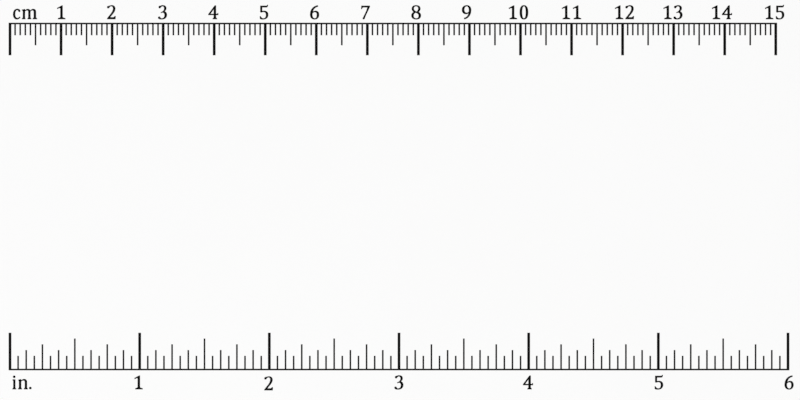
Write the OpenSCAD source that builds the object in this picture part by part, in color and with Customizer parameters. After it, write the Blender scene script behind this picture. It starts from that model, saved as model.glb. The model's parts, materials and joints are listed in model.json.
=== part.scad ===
// Bench ruler plate: a centimetre scale along one long side and an inch scale along the other, both
// starting from the same zero line. Every mark is a groove in the white face sheet with its own filling.
// The scales run along X, the centimetre scale is on the +Y side, and the grips rest on Z = 0.

/* [Scales] */
// Length of the centimetre scale, in centimetres
cm_count = 15; // [4:1:30]
// Length of the inch scale, in inches
inch_count = 6; // [2:1:12]
// Width of the long ticks at whole centimetres and whole inches
bold_line_w = 0.54; // [0.3:0.01:0.7]
// Width of all other ticks and of the two base lines
fine_line_w = 0.32; // [0.15:0.01:0.4]
// Centimetre tick, from the outer edge of its base line to the tip
cm_tick_l = 6.39; // [4.5:0.01:9]
// Half-centimetre tick, measured the same way
half_cm_tick_l = 4.43; // [3:0.01:6]
// Millimetre tick, measured the same way
mm_tick_l = 2.47; // [1.2:0.01:4]
// Inch tick, from the outer edge of its base line to the tip
inch_tick_l = 7.37; // [6.2:0.01:10]
// How much each finer division of the inch is shorter than the next coarser one
inch_tick_step = 1.13; // [0.6:0.01:1.5]

/* [Numerals] */
// Height of the numerals
numeral_h = 2.6; // [1.8:0.05:4]
// Added to either side of every stroke of a numeral, in hundredths of its height
stroke_spread = 2; // [0:0.5:2.5]
// Gap between the centimetre numerals and their base line
cm_numeral_gap = 0.72; // [0.3:0.01:2]
// Gap between the inch numerals and their base line
inch_numeral_gap = 1.08; // [0.3:0.01:2]

/* [Plate] */
// Plate beyond the zero line at one end and beyond the last line at the other
end_margin = 3.8; // [2.5:0.1:10]
// Plate beyond the centimetre numerals
cm_side_margin = 1.94; // [1:0.01:6]
// Plate beyond the inch numerals
inch_side_margin = 2.96; // [1:0.01:6]
// Free width between the ticks of the two scales
stage_w = 54.34; // [40:0.01:120]
// Corner radius of the plate
corner_r = 2.5; // [1:0.1:8]
// Thickness of the face sheet
face_t = 0.8; // [0.5:0.05:1.5]
// Bevel along the upper edge of the face sheet
face_bevel = 0.4; // [0.1:0.05:0.45]
// Depth of the grooves cut for the marks
groove_depth = 0.2; // [0.1:0.01:0.35]
// How far the fillings stay below the face
fill_recess = 0.02; // [0.01:0.01:0.06]
// Thickness of the adhesive films
film_t = 0.1; // [0.05:0.01:0.2]
// How far the face film stays back from the edge of the plate
film_inset = 0.3; // [0.1:0.05:1]
// Thickness of the core plate
core_t = 2; // [1.5:0.1:4]
// Bevel along the lower edge of the core plate
core_bevel = 0.3; // [0.1:0.05:0.8]

/* [Grips] */
// Length of each rubber grip strip
grip_l = 144; // [30:1:150]
// Width of each rubber grip strip
grip_w = 11; // [6:0.5:16]
// Distance from the long edge of the plate to the strip
grip_edge_gap = 4; // [2:0.5:10]
// Depth of the recess that takes the strip
grip_recess = 0.5; // [0.3:0.05:0.9]
// How far the strip stands out below the core plate
grip_proud = 0.6; // [0.3:0.05:1.5]
// Clearance all round the strip in its recess
grip_clearance = 0.15; // [0.05:0.05:0.4]
// Number of lengthwise ribs on a strip
grip_ribs = 7; // [3:1:9]
// Depth of the channels between the ribs
grip_channel_depth = 0.35; // [0.1:0.05:0.5]
// Corner radius of the strips
grip_corner_r = 1.5; // [0.5:0.1:2.5]

/* [Hidden] */
$fn = 64;

// A numeral of one digit is one piece; a longer one has a piece for each digit.
function digit_name(scale, value, place) =
    str(scale, "_numeral_", value, len(str(value)) == 1 ? "" : place == 0 ? "_tens" : "_ones");

centimetre = 10;
inch = 25.4;
// Smallest divisions in a centimetre and in an inch.
cm_parts = 10;
inch_parts = 16;

scale_l = max(cm_count * centimetre, inch_count * inch);
plate_l = scale_l + 2 * end_margin;
zero_x = end_margin - plate_l / 2;

// Across the plate, from the centimetre side to the inch side.
plate_w = cm_side_margin + numeral_h + cm_numeral_gap + cm_tick_l + stage_w
    + inch_tick_l + inch_numeral_gap + numeral_h + inch_side_margin;
cm_numeral_y = plate_w / 2 - cm_side_margin - numeral_h;
cm_line_y = cm_numeral_y - cm_numeral_gap;
inch_numeral_y = inch_side_margin - plate_w / 2;
inch_line_y = inch_numeral_y + numeral_h + inch_numeral_gap;

// Upwards from the resting plane.
core_z = grip_proud;
core_top = core_z + core_t;
face_z = core_top + film_t;
face_top = face_z + face_t;
fill_z = face_top - groove_depth;
fill_t = groove_depth - fill_recess;
recess_top = core_z + grip_recess;
grip_top = recess_top - film_t;

grip_y = plate_w / 2 - grip_edge_gap - grip_w / 2;
rib_w = grip_w / (2 * grip_ribs - 1);

// How far a cutter reaches past the face that it opens.
over = 1;

// How far each numeral stands to the right of its tick, to the nearest twentieth of a millimetre.
cm_numeral_drift = [0.15, 0.05, 0.1, -0.05, -0.1, -0.3, -0.3, -0.4, -0.5, -0.3, 0.1, 0.5, 0, -0.5, -0.1];
inch_numeral_drift = [-0.1, 0.05, 0.2, 0, 0.25, 0.25];
// How far each inch numeral stands below its row.
inch_numeral_drop = [0, 0.2, 0, 0, 0, 0];

// Outlines of the digits and letters, in hundredths of the numeral height. A pair is a corner; a triple
// is a smooth bend with two handles and its end point. Each further loop in a list is an opening.
unit = numeral_h / 100;
curve_steps = 6;
digit_advance = 83;
digit_bearing = [6.5, 7.5, 3, 0.5, 0, 6, 7, 7, 5, 7];

digit_0 = [
    [[31, 103], [[50, 103], [62, 88], [62, 50]], [[62, 14], [50, -2], [31, -2]],
     [[12, -2], [0, 14], [0, 50]], [[0, 88], [12, 103], [31, 103]]],
    [[31, 97], [[41, 97], [46, 82], [46, 50]], [[46, 20], [41, 4], [31, 4]],
     [[21, 4], [16, 20], [16, 50]], [[16, 82], [21, 97], [31, 97]]]
];
digit_1 = [
    [[6, 0], [60, 0], [60, 4], [[58, 8], [39, 6], [39, 18]], [39, 101], [34, 101],
     [[25, 97], [14, 89], [0, 83]], [1, 77], [[10, 82], [24, 90], [24, 78]],
     [24, 18], [[24, 6], [7, 8], [6, 4]]]
];
digit_2 = [
    [[0, 0], [61, 0], [62, 21], [57, 21], [[53, 13], [48, 12], [42, 12]], [19, 12],
     [[36, 34], [60, 55], [60, 78]], [[60, 94], [49, 103], [34, 103]],
     [[26, 103], [18, 99], [11, 98]], [[4, 97], [0, 94], [0, 89]],
     [[0, 80], [12, 79], [15, 87]], [[18, 95], [24, 97], [30, 97]],
     [[40, 97], [45, 90], [45, 78]], [[45, 54], [20, 32], [0, 4]]]
];
digit_3 = [
    [[4, 90], [[4, 97], [10, 98], [16, 99]], [[22, 101], [26, 103], [33, 103]],
     [[50, 103], [60, 96], [60, 81]], [[60, 69], [53, 62], [44, 59]],
     [[57, 55], [65, 45], [65, 31]], [[65, 10], [48, -2], [26, -2]],
     [[10, -2], [0, 2], [0, 10]], [[0, 20], [12, 20], [15, 12]],
     [[17, 6], [21, 4], [27, 4]], [[40, 4], [49, 14], [49, 30]],
     [[49, 43], [41, 50], [31, 50]], [22, 46], [20, 49], [[38, 57], [46, 66], [46, 80]],
     [[46, 91], [40, 97], [32, 97]], [[26, 97], [21, 93], [18, 87]],
     [[15, 79], [4, 81], [4, 90]]]
];
digit_4 = [
    [[0, 31], [41, 31], [41, 15], [[41, 5], [33, 8], [33, 0]], [64, 0],
     [[64, 8], [56, 5], [56, 15]], [56, 31], [73, 31], [73, 44], [70, 44],
     [[69, 38], [67, 38], [64, 38]], [56, 38], [56, 101], [48, 101], [1, 38]],
    [[13, 38], [41, 77], [41, 38]]
];
digit_5 = [
    [[3, 99], [44, 99], [[51, 99], [54, 102], [56, 106]], [59, 105],
     [[58, 94], [55, 89], [46, 89]], [15, 89], [15, 57], [[20, 60], [24, 61], [30, 61]],
     [[50, 61], [61, 51], [61, 32]], [[61, 10], [45, -2], [22, -2]],
     [[10, -2], [0, 0], [0, 6]], [0, 20], [4, 20], [[9, 10], [15, 4], [27, 4]],
     [[39, 4], [46, 15], [46, 30]], [[46, 46], [39, 54], [27, 54]],
     [[20, 54], [14, 52], [9, 50]], [3, 53]]
];
digit_6 = [
    [[57, 102], [[34, 100], [0, 80], [0, 34]], [[0, 12], [12, -2], [33, -2]],
     [[54, -2], [66, 12], [66, 32]], [[66, 50], [57, 61], [41, 61]],
     [[32, 61], [24, 57], [18, 51]], [[22, 74], [36, 90], [58, 94]]],
    [[15, 36], [[15, 46], [25, 53], [35, 53]], [[46, 53], [51, 46], [51, 32]],
     [[51, 14], [46, 4], [34, 4]], [[22, 4], [15, 16], [15, 36]]]
];
digit_7 = [
    [[1, 76], [4, 76], [[7, 86], [12, 89], [20, 89]], [48, 89], [[42, 60], [21, 24], [12, 4]],
     [[10, -1], [22, -4], [25, 4]], [[30, 26], [53, 66], [64, 93]], [64, 99], [2, 99]]
];
digit_8 = [
    [[34, 103], [[54, 103], [66, 94], [66, 79]], [[66, 68], [60, 59], [51, 53]],
     [[63, 47], [70, 40], [70, 27]], [[70, 8], [57, -2], [35, -2]],
     [[13, -2], [0, 8], [0, 27]], [[0, 40], [7, 47], [18, 52]],
     [[8, 60], [3, 68], [3, 78]], [[3, 94], [15, 103], [34, 103]]],
    [[34, 97], [[45, 97], [52, 90], [52, 79]], [[52, 69], [46, 59], [37, 54]],
     [[24, 61], [16, 69], [16, 79]], [[16, 90], [23, 97], [34, 97]]],
    [[30, 49], [[45, 46], [55, 38], [55, 24]], [[55, 11], [47, 4], [35, 4]],
     [[22, 4], [15, 12], [15, 25]], [[15, 36], [20, 44], [30, 49]]]
];
digit_9 = [
    [[15, 0], [[31, -2], [66, 22], [66, 66]], [[66, 90], [54, 103], [33, 103]],
     [[12, 103], [-2, 89], [-2, 69]], [[-2, 49], [11, 38], [27, 38]],
     [[36, 38], [44, 41], [50, 47]], [[46, 28], [32, 9], [15, 8]]],
    [[33, 97], [[22, 97], [14, 87], [14, 71]], [[14, 55], [22, 46], [33, 46]],
     [[43, 46], [51, 53], [51, 65]], [[51, 86], [44, 97], [33, 97]]]
];
letter_c = [
    [[50, 68], [[46, 73], [38, 76], [32, 76]], [[12, 76], [0, 60], [0, 36]],
     [[0, 12], [11, -2], [29, -2]], [[38, -2], [47, 4], [53, 13]], [49, 17],
     [[43, 10], [38, 7], [32, 7]], [[20, 7], [14, 18], [14, 37]],
     [[14, 58], [21, 69], [31, 69]], [[38, 69], [40, 54], [47, 54]], [[53, 54], [54, 61], [50, 68]]]
];
letter_m = [
    [[0, 0], [24, 0], [[24, 7], [21, 6], [21, 14]], [21, 58], [[26, 63], [32, 66], [37, 66]],
     [[44, 66], [48, 62], [48, 52]], [48, 14], [[48, 6], [42, 8], [42, 0]], [68, 0],
     [[68, 8], [62, 6], [62, 14]], [62, 57], [[67, 63], [72, 66], [77, 66]],
     [[86, 66], [89, 62], [89, 50]], [89, 14], [[89, 6], [81, 8], [81, 0]], [112, 0],
     [[112, 8], [104, 6], [104, 14]], [104, 54], [[104, 68], [96, 75], [84, 75]],
     [[75, 75], [68, 70], [61, 63]], [[58, 71], [51, 75], [43, 75]],
     [[35, 75], [28, 70], [21, 63]], [20, 74], [17, 74], [[12, 71], [6, 70], [0, 70]], [0, 65],
     [[6, 65], [7, 60], [7, 52]], [7, 14], [[7, 6], [0, 8], [0, 0]]]
];
letter_n = [
    [[0, 0], [27, 0], [[27, 8], [21, 6], [21, 14]], [21, 57], [[26, 63], [32, 66], [38, 66]],
     [[47, 66], [51, 62], [51, 50]], [51, 14], [[51, 6], [44, 8], [44, 0]], [71, 0],
     [[71, 8], [65, 6], [65, 14]], [65, 54], [[65, 68], [57, 75], [45, 75]],
     [[36, 75], [28, 70], [21, 62]], [20, 74], [17, 74], [[12, 71], [7, 70], [2, 70]], [2, 65],
     [[7, 65], [7, 60], [7, 52]], [7, 14], [[7, 6], [0, 8], [0, 0]]]
];
letter_i = [
    [[0, 0], [25, 0], [[25, 8], [19, 6], [19, 14]], [19, 72], [1, 72], [1, 67],
     [[6, 67], [6, 62], [6, 54]], [6, 14], [[6, 6], [0, 8], [0, 0]]]
];
digits = [digit_0, digit_1, digit_2, digit_3, digit_4, digit_5, digit_6, digit_7, digit_8, digit_9];

// Places of the letters, from the zero line, in hundredths of the numeral height.
cm_c_x = 24;
cm_m_x = 91;
inch_i_x = 20;
inch_n_x = 62;
inch_point_x = 153;
point_r = 8;
dot_x = 11.5;
dot_y = 93;

function end_of(step) = is_list(step[0]) ? step[2] : step;
function bend(a, b, c, d) = [
    for (k = [1:curve_steps])
        let (t = k / curve_steps, u = 1 - t)
            u * u * u * a + 3 * u * u * t * b + 3 * u * t * t * c + t * t * t * d
];
// The loops close on their own start, so a bend that ends there leaves its last point out.
function trace(loop) = [
    for (i = [0:len(loop) - 1])
        let (step = loop[i])
            for (p = is_list(step[0]) ? bend(end_of(loop[i - 1]), step[0], step[1], step[2]) : [step])
                if (i == 0 || p != loop[0]) p
];
function total(counts, i = 0) = i < len(counts) ? counts[i] + total(counts, i + 1) : 0;

// Above 0 where a loop runs anticlockwise, and below 0 where it runs clockwise.
function turning(loop) = total([
    for (i = [0:len(loop) - 1])
        let (a = loop[i], b = loop[(i + 1) % len(loop)]) a.x * b.y - b.x * a.y
]);
function heading(a, b) = (b - a) / norm(b - a);

// Moves every side of a loop outwards; the corners stay where the moved sides meet.
function grown(loop, distance) = let (n = len(loop), shift = distance * sign(turning(loop))) [
    for (i = [0:n - 1])
        let (before = heading(loop[(i + n - 1) % n], loop[i]), after = heading(loop[i], loop[(i + 1) % n]))
            loop[i] + shift * [before.y + after.y, -before.x - after.x] / (1 + before * after)
];

// One digit or letter, with its foot at y = 0 and its left side at x = 0.
module character(loops) {
    traced = [
        for (i = [0:len(loops) - 1])
            grown(trace(loops[i]), i == 0 ? stroke_spread : -stroke_spread)
    ];
    sizes = [for (loop = traced) len(loop)];
    polygon(
        [for (loop = traced) each unit * loop],
        [for (i = [0:len(traced) - 1])
            let (first = total([for (j = [0:1:i - 1]) sizes[j]]))
                [for (j = [0:sizes[i] - 1]) first + j]]
    );
}

// One digit of a numeral centred on x; place 0 is its first digit.
module digit_shape(value, place, x) {
    length = len(str(value));
    digit = ord(str(value)[place]) - ord("0");
    translate([x + unit * (digit_advance * (place - length / 2) + digit_bearing[digit]), 0])
        character(digits[digit]);
}

// A base line along X with its ticks hanging from it, as one outline.
function comb(ticks) = let (last = len(ticks) - 1) concat(
    [[ticks[0][0] - ticks[0][1] / 2, 0], [ticks[last][0] + ticks[last][1] / 2, 0]],
    [for (i = [last:-1:0]) each concat(
        i < last ? [[ticks[i][0] + ticks[i][1] / 2, -fine_line_w]] : [],
        [[ticks[i][0] + ticks[i][1] / 2, -ticks[i][2]], [ticks[i][0] - ticks[i][1] / 2, -ticks[i][2]]],
        i > 0 ? [[ticks[i][0] - ticks[i][1] / 2, -fine_line_w]] : []
    )]
);

// How often the inch is halved before a division falls on tick i.
function halvings(i, spacing = inch_parts) = i % spacing == 0 ? 0 : 1 + halvings(i, spacing / 2);

// Position, width and length of every tick.
cm_ticks = [
    for (i = [0:cm_count * cm_parts])
        [zero_x + i * centimetre / cm_parts, i % cm_parts == 0 ? bold_line_w : fine_line_w,
         i % cm_parts == 0 ? cm_tick_l : i % (cm_parts / 2) == 0 ? half_cm_tick_l : mm_tick_l]
];
inch_ticks = [
    for (i = [0:inch_count * inch_parts])
        [zero_x + i * inch / inch_parts, i % inch_parts == 0 ? bold_line_w : fine_line_w,
         inch_tick_l - halvings(i) * inch_tick_step]
];

module cm_scale_shape() {
    translate([0, cm_line_y])
        polygon(comb(cm_ticks));
}

module inch_scale_shape() {
    translate([0, inch_line_y])
        mirror([0, 1])
            polygon(comb(inch_ticks));
}

// A numeral past the end of its list stands exactly in place.
function astray(offsets, value) = value <= len(offsets) ? offsets[value - 1] : 0;

module cm_digit_shape(value, place) {
    translate([0, cm_numeral_y])
        digit_shape(value, place, zero_x + centimetre * value + astray(cm_numeral_drift, value));
}

module inch_digit_shape(value, place) {
    translate([0, inch_numeral_y - astray(inch_numeral_drop, value)])
        digit_shape(value, place, zero_x + inch * value + astray(inch_numeral_drift, value));
}

module cm_letter_shape(loops, x) {
    translate([zero_x + x * unit, cm_numeral_y])
        character(loops);
}

module inch_letter_shape(loops, x) {
    translate([zero_x + x * unit, inch_numeral_y])
        character(loops);
}

module inch_dot_shape(x, y) {
    translate([zero_x + x * unit, inch_numeral_y + y * unit])
        circle(r = (point_r + stroke_spread) * unit);
}

module filling() {
    color("black")
        translate([0, 0, fill_z])
            linear_extrude(height = fill_t)
                children();
}

module groove() {
    translate([0, 0, fill_z])
        linear_extrude(height = groove_depth + over)
            children();
}

// A flat slab with rounded corners, bevelled below and above.
module slab(length, width, thickness, radius, low = 0, high = 0) {
    for (along = [0, 1])
        rotate([90, 0, along * 90])
            translate([0, 0, -(along == 1 ? length : width) / 2 + radius])
                linear_extrude(height = (along == 1 ? length : width) - 2 * radius)
                    slab_section((along == 1 ? width : length) / 2, thickness, low, high);
    for (x = [-1, 1], y = [-1, 1])
        translate([x * (length / 2 - radius), y * (width / 2 - radius), 0])
            rotate_extrude()
                intersection() {
                    slab_section(radius, thickness, low, high);
                    square([radius, thickness]);
                }
}

module slab_section(half, thickness, low, high) {
    polygon([
        [-half + low, 0],
        [half - low, 0],
        if (low > 0) [half, low],
        [half, thickness - high],
        if (high > 0) [half - high, thickness],
        [-half + high, thickness],
        if (high > 0) [-half, thickness - high],
        if (low > 0) [-half, low]
    ]);
}

module core_plate() {
    color("silver")
        difference() {
            translate([0, 0, core_z])
                slab(plate_l, plate_w, core_t, corner_r, low = core_bevel);
            for (side = [-1, 1])
                translate([0, side * grip_y, core_z - over])
                    slab(grip_l + 2 * grip_clearance, grip_w + 2 * grip_clearance, grip_recess + over,
                         grip_corner_r + grip_clearance);
        }
}

module face_adhesive() {
    color("wheat")
        translate([0, 0, core_top])
            slab(plate_l - 2 * film_inset, plate_w - 2 * film_inset, film_t, corner_r - film_inset);
}

module face_sheet() {
    color("white")
        difference() {
            translate([0, 0, face_z])
                slab(plate_l, plate_w, face_t, corner_r, high = face_bevel);
            groove() cm_scale_shape();
            groove() inch_scale_shape();
            for (value = [1:cm_count], place = [0:len(str(value)) - 1])
                groove() cm_digit_shape(value, place);
            for (value = [1:inch_count], place = [0:len(str(value)) - 1])
                groove() inch_digit_shape(value, place);
            groove() cm_letter_shape(letter_c, cm_c_x);
            groove() cm_letter_shape(letter_m, cm_m_x);
            groove() inch_letter_shape(letter_i, inch_i_x);
            groove() inch_dot_shape(inch_i_x + dot_x, dot_y);
            groove() inch_letter_shape(letter_n, inch_n_x);
            groove() inch_dot_shape(inch_point_x, point_r);
        }
}

module cm_scale_fill() {
    filling() cm_scale_shape();
}

module inch_scale_fill() {
    filling() inch_scale_shape();
}

module cm_digit(value, place) {
    filling() cm_digit_shape(value, place);
}

module inch_digit(value, place) {
    filling() inch_digit_shape(value, place);
}

module cm_mark_c() {
    filling() cm_letter_shape(letter_c, cm_c_x);
}

module cm_mark_m() {
    filling() cm_letter_shape(letter_m, cm_m_x);
}

module inch_mark_i() {
    filling() inch_letter_shape(letter_i, inch_i_x);
}

module inch_mark_i_dot() {
    filling() inch_dot_shape(inch_i_x + dot_x, dot_y);
}

module inch_mark_n() {
    filling() inch_letter_shape(letter_n, inch_n_x);
}

module inch_mark_point() {
    filling() inch_dot_shape(inch_point_x, point_r);
}

module grip(side) {
    color("dimgray")
        translate([0, side * grip_y, 0])
            difference() {
                slab(grip_l, grip_w, grip_top, grip_corner_r);
                for (i = [1:grip_ribs - 1])
                    translate([-grip_l / 2 - over, -grip_w / 2 + (2 * i - 1) * rib_w, -over])
                        cube([grip_l + 2 * over, rib_w, grip_channel_depth + over]);
            }
}

module grip_adhesive(side) {
    color("wheat")
        translate([0, side * grip_y, grip_top])
            slab(grip_l, grip_w, film_t, grip_corner_r);
}

module cm_side_grip() {
    grip(1);
}

module inch_side_grip() {
    grip(-1);
}

module cm_side_grip_adhesive() {
    grip_adhesive(1);
}

module inch_side_grip_adhesive() {
    grip_adhesive(-1);
}

core_plate();
face_adhesive();
face_sheet();
cm_scale_fill();
inch_scale_fill();
for (value = [1:cm_count], place = [0:len(str(value)) - 1])
    cm_digit(value, place);
for (value = [1:inch_count], place = [0:len(str(value)) - 1])
    inch_digit(value, place);
cm_mark_c();
cm_mark_m();
inch_mark_i();
inch_mark_i_dot();
inch_mark_n();
inch_mark_point();
cm_side_grip();
inch_side_grip();
cm_side_grip_adhesive();
inch_side_grip_adhesive();
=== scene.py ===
import json

import bmesh
import bpy
from math import radians
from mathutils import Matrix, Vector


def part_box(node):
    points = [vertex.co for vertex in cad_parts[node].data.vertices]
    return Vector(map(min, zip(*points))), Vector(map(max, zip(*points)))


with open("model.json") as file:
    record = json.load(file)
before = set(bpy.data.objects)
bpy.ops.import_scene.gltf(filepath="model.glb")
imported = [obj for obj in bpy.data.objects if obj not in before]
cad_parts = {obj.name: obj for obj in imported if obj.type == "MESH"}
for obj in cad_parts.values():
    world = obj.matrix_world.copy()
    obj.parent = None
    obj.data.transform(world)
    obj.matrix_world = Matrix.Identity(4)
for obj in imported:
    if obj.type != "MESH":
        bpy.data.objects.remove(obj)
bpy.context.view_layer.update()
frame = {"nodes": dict(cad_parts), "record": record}  # the solids of the ruler, in metres, fixed where they are
nodes = frame["nodes"]
mm = 0.001
print("frame loaded:", len(nodes), "pieces")


# A shader value that takes part in ordinary sums; every sum adds a Math node.
class Wire:
    def __init__(self, finish, socket):
        self.finish = finish
        self.socket = socket

    def out(self, name):
        return Wire(self.finish, self.socket.node.outputs[name])

    def maths(self, operation, first, second):
        return self.finish.node("ShaderNodeMath", {"operation": operation}, {0: first, 1: second})

    def __add__(self, other):
        return self.maths("ADD", self, other)

    def __rsub__(self, other):
        return self.maths("SUBTRACT", other, self)

    def __mul__(self, other):
        return self.maths("MULTIPLY", self, other)

    __radd__ = __add__
    __rmul__ = __mul__


# The nodes of one material, world or modifier; its node method makes every one of them.
class Finish:
    def __init__(self, owner):
        self.owner = owner
        self.tree = owner
        if hasattr(owner, "use_nodes"):  # a modifier's node group has no such switch
            owner.use_nodes = True
            self.tree = owner.node_tree
        self.tree.nodes.clear()

    def node(self, kind, settings=None, sockets=None):
        made = self.tree.nodes.new(kind)
        for name, value in (settings or {}).items():
            setattr(made, name, value)
        for name, value in (sockets or {}).items():
            if isinstance(value, Wire):
                self.tree.links.new(value.socket, made.inputs[name])
            else:
                made.inputs[name].default_value = value
        first = next((output for output in made.outputs if output.enabled), None)
        return Wire(self, first)

    def place(self, stretch=(1, 1, 1)):  # where a point is on the ruler, in metres
        spot = self.node("ShaderNodeTexCoord").out("Object")
        return self.node("ShaderNodeVectorMath", {"operation": "MULTIPLY"}, {0: spot, 1: stretch})

    def height(self):
        return self.node("ShaderNodeSeparateXYZ", sockets={0: self.place()}).out("Z")

    def noise(self, size, detail=2, stretch=(1, 1, 1)):  # lumps of about that size, from 0 to 1
        sockets = {"Vector": self.place(stretch), "Scale": 1 / size, "Detail": detail}
        return self.node("ShaderNodeTexNoise", sockets=sockets).out("Fac")

    def ramp(self, value, low, high):  # 0 below low, 1 above high, smooth between them
        sockets = {"Value": value, "From Min": low, "From Max": high}
        return self.node("ShaderNodeMapRange", {"interpolation_type": "SMOOTHSTEP"}, sockets)

    def patches(self, low, high, **lumps):  # noise with only its higher lumps left, soft at their edges
        return self.ramp(self.noise(**lumps), low, high)

    def blend(self, share, first, second):  # from the first colour to the second
        return self.node("ShaderNodeMix", {"data_type": "RGBA"}, {0: share, 6: first, 7: second}).out(2)

    def total(self, amounts, **masks):  # the plain amount and what each mask adds to it
        value = amounts["plain"]
        for name, mask in masks.items():
            value = value + mask * amounts[name]
        return value

    def relief(self, height, depth):
        return self.node("ShaderNodeBump", sockets={"Height": height, "Distance": depth})

    def surface(self, sockets):
        shader = self.node("ShaderNodeBsdfPrincipled", sockets=sockets)
        self.node("ShaderNodeOutputMaterial", sockets={"Surface": shader})
        return self.owner


def newFinish(name):
    return Finish(bpy.data.materials.new(name))


def colour(red, green, blue):
    return (red, green, blue, 1)


def grey(level):
    return colour(level, level, level)


def putInScene(name, data):
    piece = bpy.data.objects.new(name, data)
    bpy.context.scene.collection.objects.link(piece)
    return piece


cameraSetup = {
    "seenWidth": 156.71 * mm,  # of the face, from side to side of the picture
    "middle": (0.196 * mm, 0.008 * mm),
    "lens": 100,
    "sensor": 36,
    "shown": (0.1, 10),  # nearest and farthest, in camera distances
}


# Looks straight down on the face, which fills the picture.
def makeCamera(setup):
    lens = bpy.data.cameras.new("camera")
    lens.lens = setup["lens"]
    lens.sensor_width = setup["sensor"]
    distance = setup["seenWidth"] * setup["lens"] / setup["sensor"]
    nearest, farthest = setup["shown"]
    lens.clip_start = distance * nearest
    lens.clip_end = distance * farthest
    camera = putInScene("camera", lens)
    camera.location = (*setup["middle"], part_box("face_sheet")[1].z + distance)
    bpy.context.scene.camera = camera


lightSetup = {
    "fill": 0.52,  # even light from all round
    "backdrop": 0.8,  # what the camera and reflections see behind the ruler
    "lamp": 1.8,
    "lampTilt": radians(34),
    "lampTurn": radians(-32),
    "lampSpread": radians(22),
}


def makeLight(setup):
    world = bpy.data.worlds.new("studio")
    bpy.context.scene.world = world
    air = Finish(world)
    ray = air.node("ShaderNodeLightPath")
    lighting = 1  # stays 1 only for the rays that light the ruler and show nothing of the backdrop
    for showing in ("Is Camera Ray", "Is Glossy Ray", "Is Transmission Ray"):
        lighting = lighting * (1 - ray.out(showing))
    strength = setup["backdrop"] + lighting * (setup["fill"] - setup["backdrop"])
    glow = air.node("ShaderNodeBackground", sockets={"Color": grey(1), "Strength": strength})
    air.node("ShaderNodeOutputWorld", sockets={"Surface": glow})
    lamp = bpy.data.lights.new("softLamp", "SUN")
    lamp.energy = setup["lamp"]
    lamp.angle = setup["lampSpread"]
    stand = putInScene("softLamp", lamp)
    stand.rotation_euler = (setup["lampTilt"], 0, setup["lampTurn"])


floorSetup = {
    "reach": 12,
    "sides": 96,
    "tone": 0.76,
    "cloudTone": 0.66,
    "cloudSize": 30 * mm,
    "cloudShare": 0.02,
    "roughness": 0.8,
    "gloss": 0.2,
    "fade": (0.4, 2.5),  # distances between which the floor passes into the backdrop
}


def makeFloor(setup, backdrop):
    mesh = bpy.data.meshes.new("floor")
    disc = bmesh.new()
    bmesh.ops.create_circle(disc, cap_ends=True, segments=setup["sides"], radius=setup["reach"])
    disc.to_mesh(mesh)
    disc.free()
    floor = putInScene("floor", mesh)
    finish = newFinish("paleFloor")
    cloudy = finish.noise(setup["cloudSize"]) * setup["cloudShare"]
    paint = finish.node("ShaderNodeBsdfPrincipled", sockets={
        "Base Color": finish.blend(cloudy, grey(setup["tone"]), grey(setup["cloudTone"])),
        "Roughness": setup["roughness"],
        "Specular IOR Level": setup["gloss"],
    })
    glow = finish.node("ShaderNodeEmission", sockets={"Color": grey(backdrop)})
    away = finish.node("ShaderNodeVectorMath", {"operation": "LENGTH"}, {0: finish.place()}).out("Value")
    far = finish.ramp(away, *setup["fade"])
    both = finish.node("ShaderNodeMixShader", sockets={0: far, 1: paint, 2: glow})
    finish.node("ShaderNodeOutputMaterial", sockets={"Surface": both})
    mesh.materials.append(finish.owner)


bpy.context.scene.view_settings.view_transform = "Standard"
makeCamera(cameraSetup)
makeLight(lightSetup)
makeFloor(floorSetup, lightSetup["backdrop"])
print("camera, light and floor made")


faceLook = {
    "white": colour(0.968, 0.968, 0.967),
    "cloud": colour(0.960, 0.960, 0.958),
    "clouds": {"size": 9 * mm},
    "cutEdge": colour(0.885, 0.88, 0.87),
    "cutBelow": (0.04 * mm, 0.08 * mm),  # depths at which the cut edge begins to show and shows in full
    "rubbed": {"size": 35 * mm, "low": 0.4, "high": 0.7},
    "peel": {"size": 0.8 * mm},
    "grain": {"size": 0.2 * mm},
    "ridges": {"size": 0.3 * mm, "stretch": (1, 1, 0.05)},  # cutter marks, from top to bottom of the edge
    "lift": {"peel": 0.6, "grain": 0.2, "ridges": 1.5},
    "reliefDepth": 0.006 * mm,
    "roughness": {"plain": 0.5, "rubbed": -0.08, "grain": 0.06, "edge": 0.12},
    "gloss": 0.35,
}


# Satin white sheet, with fine cutter marks where its edge was cut and bevelled.
def faceFinish(look):
    finish = newFinish("satinWhite")
    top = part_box("face_sheet")[1].z
    begins, full = look["cutBelow"]
    edge = 1 - finish.ramp(finish.height(), top - full, top - begins)
    rubbed = finish.patches(**look["rubbed"])
    peel = finish.noise(**look["peel"])
    grain = finish.noise(**look["grain"])
    ridges = edge * finish.noise(**look["ridges"])
    lift = look["lift"]
    bumps = peel * lift["peel"] + grain * lift["grain"] + ridges * lift["ridges"]
    white = finish.blend(finish.noise(**look["clouds"]), look["white"], look["cloud"])
    return finish.surface({
        "Base Color": finish.blend(edge, white, look["cutEdge"]),
        "Roughness": finish.total(look["roughness"], rubbed=rubbed, grain=grain, edge=edge),
        "Specular IOR Level": look["gloss"],
        "Normal": finish.relief(bumps, look["reliefDepth"]),
    })


markLook = {
    "black": colour(0.002, 0.002, 0.002),
    "worn": colour(0.006, 0.006, 0.006),
    "patches": {"size": 4 * mm, "low": 0.45, "high": 0.75},
    "pigment": {"size": 0.12 * mm, "detail": 3},
    "wornShare": 0.4,  # the most that the patches and the pigment each wear the black
    "pigmentDepth": 0.004 * mm,
    "roughness": {"plain": 0.7, "pigment": 0.2},
    "gloss": 0.03,
}


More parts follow.
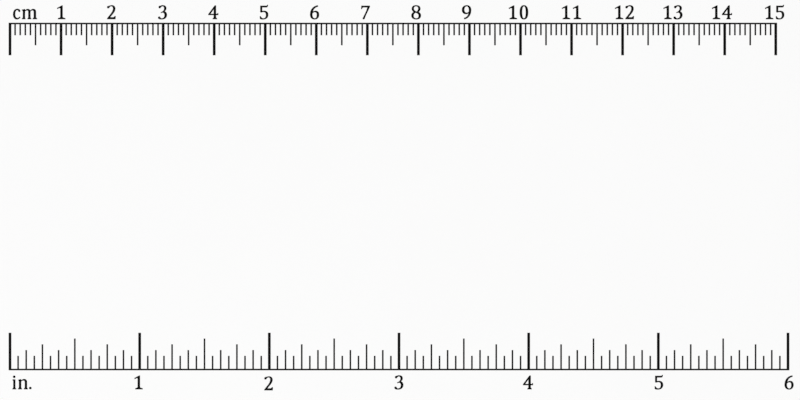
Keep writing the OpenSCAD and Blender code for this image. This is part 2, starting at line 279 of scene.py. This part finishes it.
# Dull black filling with a slightly uneven, dried surface.
def markFinish(look):
    finish = newFinish("dullBlack")
    pigment = finish.noise(**look["pigment"])
    worn = (finish.patches(**look["patches"]) + pigment) * look["wornShare"]
    return finish.surface({
        "Base Color": finish.blend(worn, look["black"], look["worn"]),
        "Roughness": finish.total(look["roughness"], pigment=pigment),
        "Specular IOR Level": look["gloss"],
        "Normal": finish.relief(pigment, look["pigmentDepth"]),
    })


coreLook = {
    "plastic": colour(0.56, 0.56, 0.55),
    "shade": colour(0.52, 0.52, 0.51),
    "flow": {"size": 18 * mm, "stretch": (0.4, 1, 1)},
    "rubbed": colour(0.63, 0.63, 0.62),
    "rubbedUpTo": 0.4 * mm,  # above the lowest face
    "grain": {"size": 0.22 * mm, "detail": 3},
    "grainDepth": 0.02 * mm,
    "scratchLength": 9 * mm,
    "scratchWidth": 0.12 * mm,
    "scratches": {"low": 0.62, "high": 0.72, "detail": 1},
    "scratched": {"size": 12 * mm, "low": 0.42, "high": 0.62},
    "wear": {"scratches": 0.8, "grain": 0.2},
    "roughness": {"plain": 0.52, "grain": 0.12, "worn": -0.1},
    "gloss": 0.4,
}


# Light grey moulded plate with a fine grain, rubbed and faintly scratched where it slides about.
def coreFinish(look):
    finish = newFinish("mouldedGrey")
    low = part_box("core_plate")[0].z
    underneath = 1 - finish.ramp(finish.height(), low, low + look["rubbedUpTo"])
    grain = finish.noise(**look["grain"])
    width = look["scratchWidth"]
    drawn = (width / look["scratchLength"], 1, 1)
    streaks = finish.patches(**look["scratches"], size=width, stretch=drawn)
    scratches = streaks * finish.patches(**look["scratched"])
    wear = look["wear"]
    worn = underneath * (scratches * wear["scratches"] + grain * wear["grain"])
    plastic = finish.blend(finish.noise(**look["flow"]), look["plastic"], look["shade"])
    return finish.surface({
        "Base Color": finish.blend(worn, plastic, look["rubbed"]),
        "Roughness": finish.total(look["roughness"], grain=grain, worn=worn),
        "Specular IOR Level": look["gloss"],
        "Normal": finish.relief(grain, look["grainDepth"]),
    })


gripLook = {
    "rubber": colour(0.030, 0.030, 0.032),
    "bloom": colour(0.062, 0.062, 0.063),
    "blooming": {"size": 6 * mm, "low": 0.35, "high": 0.75},
    "scuffed": colour(0.115, 0.113, 0.108),
    "scuffedUpTo": (0.02 * mm, 0.12 * mm),  # heights at which the scuffing begins to fade and is gone
    "scuffedGrain": (0.3, 0.7),
    "grain": {"size": 0.16 * mm, "detail": 4},
    "grainDepth": 0.015 * mm,
    "roughness": {"plain": 0.72, "grain": 0.16, "scuffs": 0.08},
    "gloss": 0.35,
}


# Dark ribbed rubber, paler where the ribs rub on the table.
def gripFinish(look):
    finish = newFinish("ribbedRubber")
    grain = finish.noise(**look["grain"])
    low = 1 - finish.ramp(finish.height(), *look["scuffedUpTo"])
    scuffs = low * finish.ramp(grain, *look["scuffedGrain"])
    rubber = finish.blend(finish.patches(**look["blooming"]), look["rubber"], look["bloom"])
    return finish.surface({
        "Base Color": finish.blend(scuffs, rubber, look["scuffed"]),
        "Roughness": finish.total(look["roughness"], grain=grain, scuffs=scuffs),
        "Specular IOR Level": look["gloss"],
        "Normal": finish.relief(grain, look["grainDepth"]),
    })


adhesiveLook = {
    "film": colour(0.72, 0.68, 0.58),
    "bubbled": colour(0.80, 0.78, 0.71),
    "bubbles": {"size": 0.5 * mm, "low": 0.55, "high": 0.7, "detail": 3},
    "bubbleDepth": 0.01 * mm,
    "roughness": {"plain": 0.32, "bubbles": 0.25},
}


# Thin pale film, cloudy where small bubbles are caught in it.
def adhesiveFinish(look):
    finish = newFinish("paleFilm")
    bubbles = finish.patches(**look["bubbles"])
    return finish.surface({
        "Base Color": finish.blend(bubbles, look["film"], look["bubbled"]),
        "Roughness": finish.total(look["roughness"], bubbles=bubbles),
        "Normal": finish.relief(bubbles, look["bubbleDepth"]),
    })


finishes = {
    "face": faceFinish(faceLook),
    "marks": markFinish(markLook),
    "core": coreFinish(coreLook),
    "grip": gripFinish(gripLook),
    "adhesive": adhesiveFinish(adhesiveLook),
}
for part in frame["record"]["subparts"]:
    for holder in nodes[part["node"]].material_slots:
        holder.material = finishes[part["material_slot"]]
print("finishes:", ", ".join(finishes))


edgeRounding = {
    "radius": {
        "core_plate": 0.12 * mm,
        "cm_side_grip": 0.09 * mm,
        "inch_side_grip": 0.09 * mm,
    },
    "steps": 3,
    "sharpFrom": radians(30),  # edges that turn by more are rounded
    "flatUpTo": radians(0.5),  # faces that turn by less are one flat
    "sameCorner": 0.001 * mm,  # corners that are closer are one
}


# Shades a whole piece smooth, so that its rounded edges run into its flats.
def makeSmoothing():
    group = bpy.data.node_groups.new("smoothing", "GeometryNodeTree")
    for way in ("INPUT", "OUTPUT"):
        group.interface.new_socket("Geometry", in_out=way, socket_type="NodeSocketGeometry")
    smoothing = Finish(group)
    smooth = smoothing.node("GeometryNodeSetShadeSmooth", sockets={0: smoothing.node("NodeGroupInput")})
    smoothing.node("NodeGroupOutput", sockets={0: smooth})
    return group


# Takes the sharpness off a moulded piece's edges; its outline and its flats stay where they are.
def roundEdges(piece, radius, rounding, smoothing):
    piece.modifiers.new("joinedCorners", "WELD").merge_threshold = rounding["sameCorner"]
    flats = piece.modifiers.new("wholeFlats", "DECIMATE")
    flats.decimate_type = "DISSOLVE"
    flats.angle_limit = rounding["flatUpTo"]
    bevel = piece.modifiers.new("roundedEdges", "BEVEL")
    bevel.width = radius
    bevel.segments = rounding["steps"]
    bevel.limit_method = "ANGLE"
    bevel.angle_limit = rounding["sharpFrom"]
    piece.modifiers.new("smoothed", "NODES").node_group = smoothing
    piece.modifiers.new("evenFlats", "WEIGHTED_NORMAL")


smoothing = makeSmoothing()
for name, radius in edgeRounding["radius"].items():
    roundEdges(nodes[name], radius, edgeRounding, smoothing)
print("edges rounded:", ", ".join(edgeRounding["radius"]))
